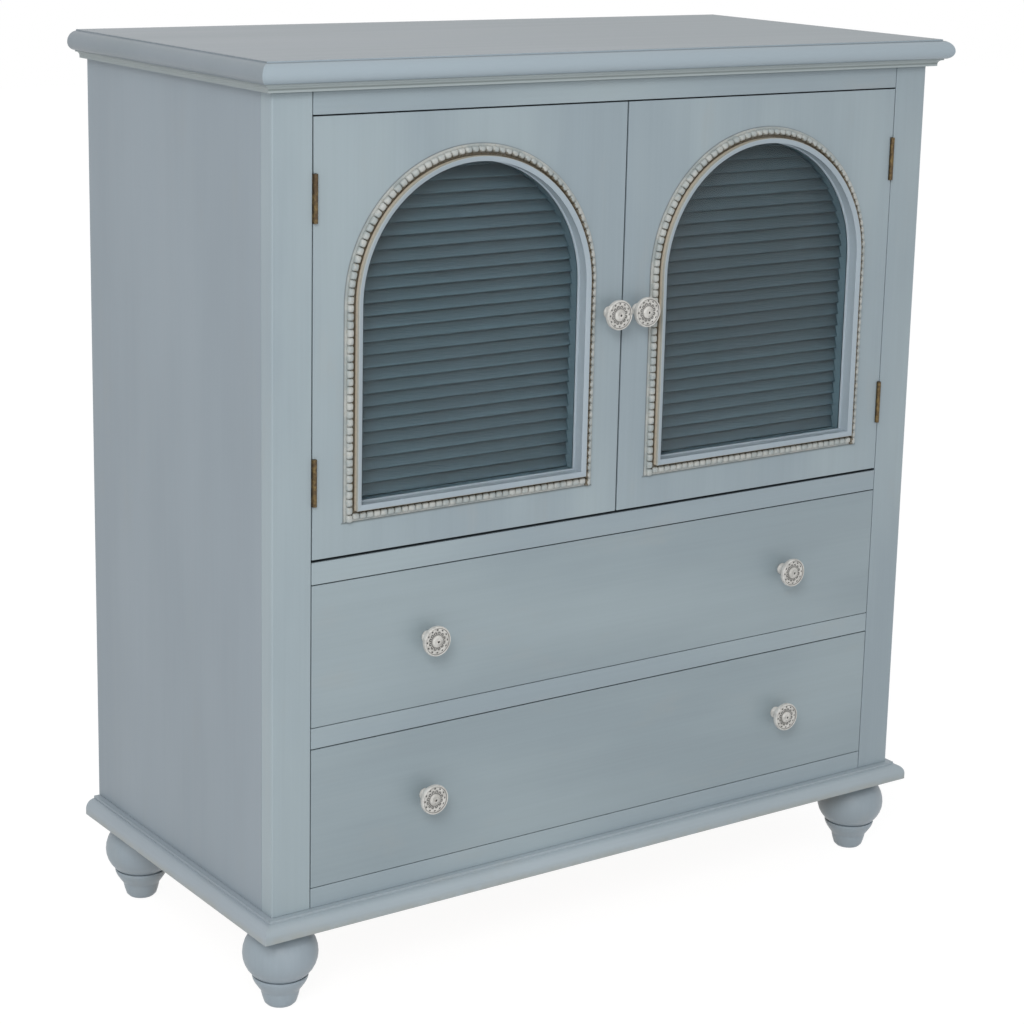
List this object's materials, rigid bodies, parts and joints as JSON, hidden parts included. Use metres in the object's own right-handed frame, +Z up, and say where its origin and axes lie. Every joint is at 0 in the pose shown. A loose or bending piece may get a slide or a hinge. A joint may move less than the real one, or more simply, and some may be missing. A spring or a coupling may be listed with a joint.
{
  "type": "cupboard with glass doors and drawers",
  "caption": "Painted cupboard on turned feet: arched glass doors with slatted screens and beaded mouldings over full-width drawers, under a bullnose top.",
  "frame": {"origin": "on the floor, under the middle of the bounding box", "axes": "+Z up, -Y out of the front with the doors, +X to the right seen from the front"},
  "size_m": [0.915, 0.4346, 1.0038],
  "materials": {
    "blue_grey_paint": "satin blue-grey paint, brushed",
    "top_paint": "satin pale blue-grey paint, brushed",
    "antiqued_paint": "pale paint with brown glaze in the hollows",
    "inside_paint": "matt blue-grey paint",
    "screen_paint": "satin blue-grey paint",
    "bare_wood": "bare planed softwood",
    "back_board": "thin plywood",
    "carved_white": "white paint, worn, dark in the hollows",
    "aged_brass": "aged brass",
    "steel": "zinc plated",
    "catch_plastic": "matt brown plastic",
    "clear_glass": "clear float glass"
  },
  "bodies": {
    "cabinet": {"top_board": "top_paint", "top_cove_moulding": "blue_grey_paint", "left_side_panel": "blue_grey_paint", "right_side_panel": "blue_grey_paint", "left_stile": "blue_grey_paint", "right_stile": "blue_grey_paint", "top_rail": "blue_grey_paint", "door_rail": "blue_grey_paint", "drawer_rail": "blue_grey_paint", "bottom_rail": "blue_grey_paint", "back_panel": "back_board", "bottom_board": "bare_wood", "divider_board": "bare_wood", "cupboard_floor": "inside_paint", "shelf": "inside_paint", "shelf_pins": "steel", "base_moulding_front": "blue_grey_paint", "base_moulding_left": "blue_grey_paint", "base_moulding_right": "blue_grey_paint", "base_back_rail": "bare_wood", "front_left_foot": "blue_grey_paint", "front_right_foot": "blue_grey_paint", "back_left_foot": "blue_grey_paint", "back_right_foot": "blue_grey_paint", "foot_blocks": "bare_wood", "drawer_runners": "bare_wood", "door_catches": "catch_plastic", "hinge_frame_leaves": "aged_brass"},
    "left_door": {"left_door_panel": "blue_grey_paint", "left_arch_moulding": "blue_grey_paint", "left_bead_strip": "antiqued_paint", "left_door_glass": "clear_glass", "left_screen_frame": "screen_paint", "left_screen_slats": "screen_paint", "left_door_knob": "carved_white", "left_hinge_door_leaves": "aged_brass", "left_strike_plate": "steel"},
    "right_door": {"right_door_panel": "blue_grey_paint", "right_arch_moulding": "blue_grey_paint", "right_bead_strip": "antiqued_paint", "right_door_glass": "clear_glass", "right_screen_frame": "screen_paint", "right_screen_slats": "screen_paint", "right_door_knob": "carved_white", "right_hinge_door_leaves": "aged_brass", "right_strike_plate": "steel"},
    "upper_drawer": {"upper_drawer_front": "blue_grey_paint", "upper_drawer_left_side": "bare_wood", "upper_drawer_right_side": "bare_wood", "upper_drawer_back": "bare_wood", "upper_drawer_bottom": "bare_wood", "upper_drawer_knobs": "carved_white"},
    "lower_drawer": {"lower_drawer_front": "blue_grey_paint", "lower_drawer_left_side": "bare_wood", "lower_drawer_right_side": "bare_wood", "lower_drawer_back": "bare_wood", "lower_drawer_bottom": "bare_wood", "lower_drawer_knobs": "carved_white"}
  },
  "joints": [
    {"name": "left_door_hinge", "type": "hinge", "parent": "cabinet", "child": "left_door", "pos_m": [-0.3859, -0.1949, 0.721], "axis": [0, 0, -1], "range_deg": [0, 110]},
    {"name": "right_door_hinge", "type": "hinge", "parent": "cabinet", "child": "right_door", "pos_m": [0.3859, -0.1949, 0.721], "axis": [0, 0, 1], "range_deg": [0, 110]},
    {"name": "upper_drawer_slide", "type": "slide", "parent": "cabinet", "child": "upper_drawer", "axis": [0, -1, 0], "range_m": [0, 0.28]},
    {"name": "lower_drawer_slide", "type": "slide", "parent": "cabinet", "child": "lower_drawer", "axis": [0, -1, 0], "range_m": [0, 0.28]}
  ]
}
